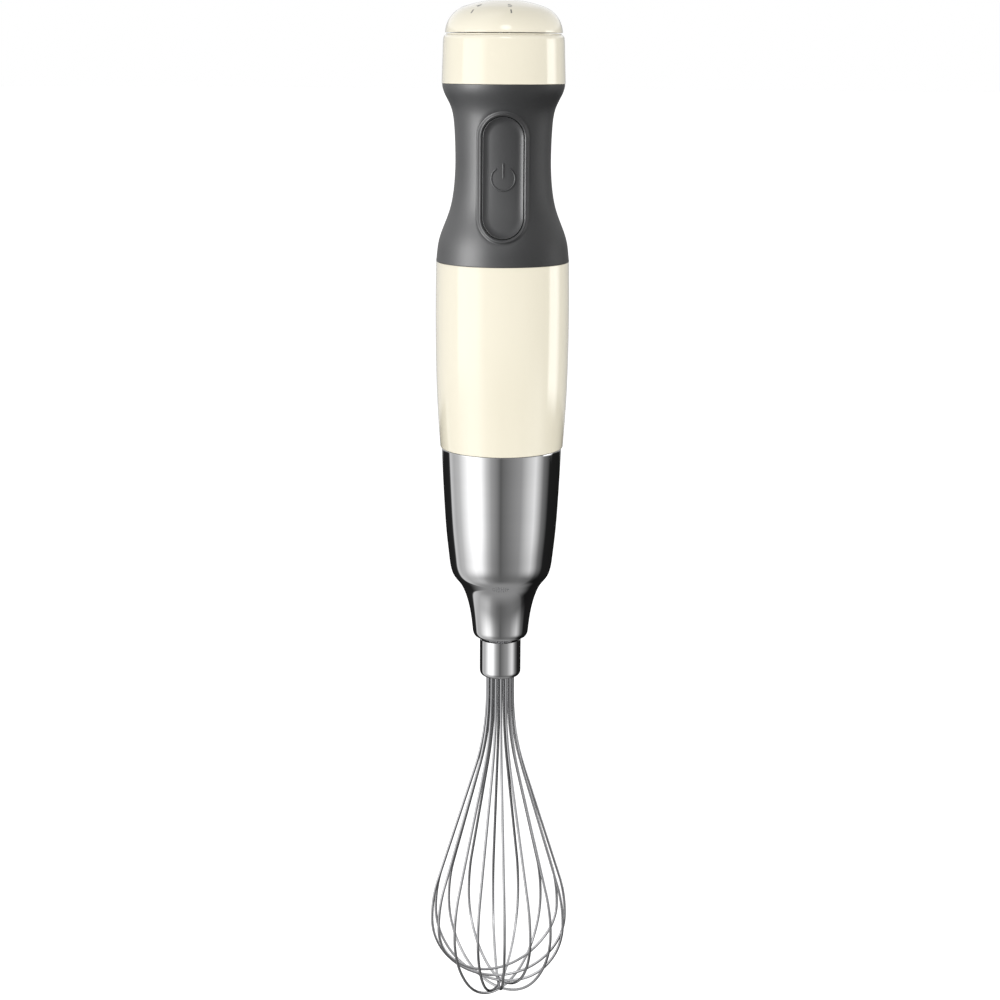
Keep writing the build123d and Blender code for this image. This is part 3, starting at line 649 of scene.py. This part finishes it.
for share in (0.0, 0.3, 0.65, 1.0):
    drop = GRIP_SKIN + (LIP_SINK if share == 0 else 0)
    ring = between(opening, frame_edge, share)
    layers.append([skin_point(x, z, drop, raised=False) for x, z in ring])

shape = bmesh.new()
rings = [[shape.verts.new(p) for p in layer] for layer in layers]
skin_rings(shape, rings)
around, rise = len(rings[0]), len(rows)
for k in [*range(rise - 1, rise + CAP_STEPS - 1), *range(2 * rise + CAP_STEPS - 2, around)]:
    on = (k + 1) % around
    shape.faces.new([rings[0][k], rings[0][on], rings[-1][on], rings[-1][k]])
# The back and sides: an outer skin and a lining, closed at foot and top.
sheets = []
for drop in (0.0, GRIP_SKIN):
    sheet = []
    for z in rows:
        radius = grip_radius(z) - drop
        start = atan2(-sqrt(radius**2 - PATCH_HALF**2), PATCH_HALF)
        sweep = pi - 2 * start
        spokes = [start + sweep * k / BACK_STEPS for k in range(BACK_STEPS + 1)]
        points = [(radius * MM * cos(a), radius * MM * sin(a), z * MM) for a in spokes]
        sheet.append([shape.verts.new(point) for point in points])
    for lower, upper in zip(sheet, sheet[1:]):
        for k in range(BACK_STEPS):
            shape.faces.new([lower[k], lower[k + 1], upper[k + 1], upper[k]])
    sheets.append(sheet)
for end in (0, -1):
    for k in range(BACK_STEPS):
        skin, lining = sheets[0][end], sheets[1][end]
        shape.faces.new([skin[k], skin[k + 1], lining[k + 1], lining[k]])
bmesh.ops.remove_doubles(shape, verts=shape.verts, dist=1e-6)
grip_mesh = made_mesh("grip_skin", shape, soft_rubber)
grip = add_piece("grip_skin", grip_mesh, "motor_body", "soft_grip", "grip_sleeve")
rubber_pieces.objects.link(grip)

# ------------------------------------------------------------- power button
# A long oval pad in the same soft rubber, dished inside a sloping rim, with
# the standing power symbol in raised line.  It slides in on a spring.
PAD_HALF, PAD_END, PAD_BACK = 9.45, 6, 17.4
PAD_RIM, PAD_FLOOR = 0.5, 1.95
PAD_ROUND, PAD_SLOPE, PAD_CURVE, PAD_FLATTEN = 0.3, 3.0, 2.2, 0.25


def pad_point(x, z, sink=0.0):
    """A point of the pad's face: a rounded rim, a slope, and a broad floor."""
    depth = PAD_HALF - hypot(x, max(abs(z - BUTTON_Z) - OPEN_RUN, 0))
    inset = PAD_RIM
    if depth < PAD_ROUND:
        inset += PAD_ROUND - sqrt(max(PAD_ROUND**2 - (PAD_ROUND - depth) ** 2, 0))
    else:
        fall = min((depth - PAD_ROUND) / PAD_SLOPE, 1)
        inset += (PAD_FLOOR - PAD_RIM) * (1 - (1 - fall) ** PAD_CURVE)
    radius = grip_radius(z)
    flat = PAD_FLATTEN * (radius - sqrt(radius**2 - x**2))
    return (x * MM, (-sqrt(radius**2 - x**2) + inset - flat + sink) * MM, z * MM)


pad_rows = list(np.linspace(BUTTON_Z - OPEN_RUN - PAD_END, BUTTON_Z + OPEN_RUN + PAD_END, 90))
insets = [0, 0.02, 0.06, 0.12, 0.2, 0.3, 0.4, 0.5, 0.65, 0.8, 1.0, 1.25, 1.5, 1.8, 2.1, 2.5]
insets += [2.9, 3.3, 3.8, 4.5, 5.4, 6.4, 7.4, 8.4, 9.1, PAD_HALF]
ovals = [oval(PAD_HALF - inset, OPEN_RUN, pad_rows) for inset in insets]
shape = bmesh.new()
rings = []
for ring in reversed(ovals):
    rings.append([shape.verts.new((x * MM, -PAD_BACK * MM, z * MM)) for x, z in ring])
for ring in ovals:
    rings.append([shape.verts.new(pad_point(x, z)) for x, z in ring])
skin_rings(shape, rings)
bmesh.ops.remove_doubles(shape, verts=shape.verts, dist=2e-6)
empty = [face for face in shape.faces if face.calc_area() < 1e-14]
bmesh.ops.delete(shape, geom=empty, context="FACES")
pad_mesh = made_mesh("button_pad", shape, soft_rubber)
pad = add_piece("button_pad", pad_mesh, "button", "soft_grip", "power_button")
rubber_pieces.objects.link(pad)

SYMBOL_Z, SYMBOL_R, SYMBOL_GAP = 412.0, 5.4, radians(35)
SYMBOL_LINE, SYMBOL_SINK = 0.42, 0.02
BAR_LOW, BAR_RUN = 0.2, 6.6
turns = [pi / 2 + SYMBOL_GAP + (2 * pi - 2 * SYMBOL_GAP) * k / 60 for k in range(61)]
circle = [(SYMBOL_R * cos(a), SYMBOL_Z + SYMBOL_R * sin(a)) for a in turns]
circle_line = [pad_point(x, z, SYMBOL_SINK) for x, z in circle]
heights = [SYMBOL_Z + BAR_LOW + BAR_RUN * k / 10 for k in range(11)]
bar_line = [pad_point(0, z, SYMBOL_SINK) for z in heights]
for name, line in (("power_ring", circle_line), ("power_bar", bar_line)):
    raised = bar_along(line, SYMBOL_LINE * MM, 0, 12, soft_rubber)
    mark = add_piece(name, raised, "button", "soft_grip")
    rubber_pieces.objects.link(mark)

# ------------------------------------------------------------ return spring
# A coil of hard steel wire round the button's post.  It is caught between
# the button's flange and the switch, and closes up as the button goes in.
spring_steel = finish(
    "spring_steel", (0.58, 0.58, 0.59), (0.50, 0.50, 0.51), (0.2, 0.3), metal=1.0, depth=0.002
)
COIL_R, COIL_WIRE, COIL_TURNS, COIL_POINTS = 3.4 * MM, 0.35 * MM, 5, 24
COIL_FRONT, COIL_BACK, COIL_Z = -15.6 * MM, -7.4 * MM, 412.0 * MM
coil = []
for k in range(COIL_TURNS * COIL_POINTS + 1):
    a = 2 * pi * k / COIL_POINTS
    y = COIL_FRONT + (COIL_BACK - COIL_FRONT) * k / (COIL_TURNS * COIL_POINTS)
    coil.append((COIL_R * cos(a), y, COIL_Z - COIL_R * sin(a)))
coil_mesh = bar_along(coil, COIL_WIRE, 0, 10, spring_steel)
return_spring = add_piece(
    "return_spring", coil_mesh, "motor_body", "machined_steel", "button_spring"
)
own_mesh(return_spring)

# -------------------------------------------------------------- head collar
# A cream ring moulded to match the housing, with a softly rounded top edge
# and a low spigot inside the gap under the dial.
foot, spigot_top = ends("head_collar")
top = 475.9
collar = [(26.05, foot), (28.3, foot), (28.43, foot + 0.06), (28.5, foot + 0.25)]
wall = [(28.5, foot + 0.6), (28.3, 461.0), (28.1, 466.5), (27.93, 471.8), (27.86, 473.2)]
rounding = [(27.84, 473.5), (27.7, 474.6), (27.3, 475.4), (26.85, 475.75), (26.5, top)]
collar += fair_line(wall, 24) + fair_line(rounding, 20)
collar += [(26.4, top), (26.4, spigot_top), (4.2, spigot_top), (4.2, 473.9), (24.0, 473.9)]
collar += [(26.05, 472.0)]
collar_mesh = turned("cream_collar", collar[::-1], cream)
add_piece("cream_collar", collar_mesh, "motor_body", "cream_gloss", "head_collar")

# --------------------------------------------------------------- cord gland
# A black rubber bushing, moulded in one piece.  It is pushed out through the
# back of the collar up to its flange; the mains lead comes in by its bore.


def repaint(node, paint):
    """Gives a CAD piece that keeps its own shape another finish."""
    mesh = frame["nodes"][node].data
    mesh.materials.clear()
    mesh.materials.append(paint)


gland_rubber = finish(
    "gland_rubber", (0.028, 0.028, 0.029), (0.020, 0.020, 0.021), (0.45, 0.6), grain=2600.0
)
repaint("cord_gland", gland_rubber)

# -------------------------------------------------------------- speed dial
# A low cream dome, hollow, that turns on the spindle of the speed control.
# Five settings are printed round its crown, each with a tick outside it.
foot, top = ends("speed_dial")
CROWN_R, CROWN_END = 54.5, 18.385
EDGE_AT, EDGE_TURN = (14.0, 476.17), 13.0


def crown_z(r):
    """Height of the crown at a distance from the axis."""
    return top - CROWN_R + sqrt(CROWN_R**2 - r**2)


dial = [(0, top)] + [(r, crown_z(r)) for r in np.linspace(1.0, CROWN_END, 24)]
edge_turns = np.linspace(radians(69), radians(4.5), 30)
dial += [(EDGE_AT[0] + EDGE_TURN * cos(a), EDGE_AT[1] + EDGE_TURN * sin(a)) for a in edge_turns]
dial += [(26.93, foot + 0.12), (26.8, foot), (24.6, foot), (24.6, 480.0), (21.5, 484.3)]
dial += [(14.0, 487.0), (5.0, 487.8), (5.0, 478.5), (3.05, 478.5), (3.05, 486.55), (0, 486.55)]
dial_mesh = turned("dial_dome", dial, cream, closed=False)
add_piece("dial_dome", dial_mesh, "dial", "cream_gloss", "speed_dial")

ink = finish(
    "printed_grey_ink", (0.17, 0.17, 0.165), (0.13, 0.13, 0.125), (0.35, 0.5),
    grain=3000.0, depth=0.003,
)
DIGIT_R, DIGIT_HIGH, TYPE_PER_HEIGHT = 18.2, 3.3, 1.4
TICK_R, TICK_CORNERS = 22.6, ((-0.3, -0.9), (0.3, -0.9), (0.3, 0.9), (-0.3, 0.9))
INK_LIFT, INK_DEEP = 0.04, 0.12
SETTINGS, LAST_DIGIT, DIGIT_STEP = 5, radians(-82), radians(47)


def dial_point(away, angle, lift):
    """A point on the dial's outside at a radius and a compass angle."""
    if away <= CROWN_END:
        z = crown_z(away)
    else:
        z = EDGE_AT[1] + sqrt(EDGE_TURN**2 - (away - EDGE_AT[0]) ** 2)
    return (away * MM * cos(angle), away * MM * sin(angle), (z + lift) * MM)


def crown_print(name, flat, turn, radius):
    """Lays a flat mesh on the dial: its y runs to the middle, its x round."""
    shape = bmesh.new()
    shape.from_mesh(flat)
    bmesh.ops.triangulate(shape, faces=shape.faces)
    bmesh.ops.subdivide_edges(shape, edges=shape.edges, cuts=2, use_grid_fill=True)
    for vert in shape.verts:
        away = radius - vert.co.y / MM
        vert.co = dial_point(away, turn + vert.co.x / MM / radius, INK_LIFT)
    thick = bmesh.ops.extrude_face_region(shape, geom=list(shape.faces))
    for item in thick["geom"]:
        if isinstance(item, bmesh.types.BMVert):
            item.co.z -= INK_DEEP * MM
    bmesh.ops.recalc_face_normals(shape, faces=shape.faces)
    shape.to_mesh(flat)
    flat.materials.clear()
    flat.materials.append(ink)
    add_piece(name, flat, "dial", "black_nylon")


for digit in range(1, SETTINGS + 1):
    turn = LAST_DIGIT - (SETTINGS - digit) * DIGIT_STEP
    text = bpy.data.curves.new("digit", "FONT")
    text.body = str(digit)
    text.size = DIGIT_HIGH * TYPE_PER_HEIGHT * MM
    text.align_x = text.align_y = "CENTER"
    holder = bpy.data.objects.new("digit_holder", text)
    bpy.context.collection.objects.link(holder)
    ready = holder.evaluated_get(bpy.context.evaluated_depsgraph_get())
    flat = bpy.data.meshes.new_from_object(ready)
    bpy.data.objects.remove(holder)
    crown_print(f"dial_digit_{digit}", flat, turn, DIGIT_R)
    tick = bpy.data.meshes.new("tick")
    tick.from_pydata([(x * MM, y * MM, 0) for x, y in TICK_CORNERS], [], [(0, 1, 2, 3)])
    crown_print(f"dial_tick_{digit}", tick, turn, TICK_R)

# -------------------------------------------------------------- inner works
# The motor, switch, board, gears and bearings are moulded, turned, stamped or
# wound from stock, and fixed inside before the shells close over them.
# Each keeps its own shape and gets the finish of its stock.
INNER = {
    "black_rubber": ((0.03, 0.03, 0.03), (0.02, 0.02, 0.02), (0.5, 0.65), 0.0),
    "black_nylon": ((0.045, 0.045, 0.047), (0.032, 0.032, 0.034), (0.4, 0.55), 0.0),
    "machined_steel": ((0.58, 0.58, 0.59), (0.50, 0.50, 0.51), (0.22, 0.34), 1.0),
    "motor_iron": ((0.45, 0.45, 0.46), (0.36, 0.36, 0.37), (0.3, 0.45), 1.0),
    "magnet_ferrite": ((0.09, 0.09, 0.095), (0.06, 0.06, 0.065), (0.5, 0.65), 0.0),
    "gear_acetal": ((0.86, 0.85, 0.80), (0.80, 0.79, 0.74), (0.3, 0.42), 0.0),
    "bearing_bronze": ((0.62, 0.43, 0.21), (0.52, 0.35, 0.16), (0.28, 0.42), 1.0),
    "copper": ((0.75, 0.35, 0.17), (0.62, 0.27, 0.12), (0.22, 0.36), 1.0),
    "carbon": ((0.06, 0.06, 0.06), (0.04, 0.04, 0.04), (0.4, 0.6), 0.0),
    "circuit_board": ((0.03, 0.17, 0.075), (0.02, 0.13, 0.055), (0.25, 0.4), 0.0),
    "heatsink_aluminium": ((0.78, 0.78, 0.79), (0.70, 0.70, 0.71), (0.3, 0.42), 1.0),
    "lead_insulation": ((0.48, 0.05, 0.04), (0.40, 0.04, 0.03), (0.35, 0.5), 0.0),
}
stock = {slot: finish(slot, *look) for slot, look in INNER.items()}
for part in frame["record"]["subparts"]:
    if part["material_slot"] in stock and part["node"] != "cord_gland":
        repaint(part["node"], stock[part["material_slot"]])
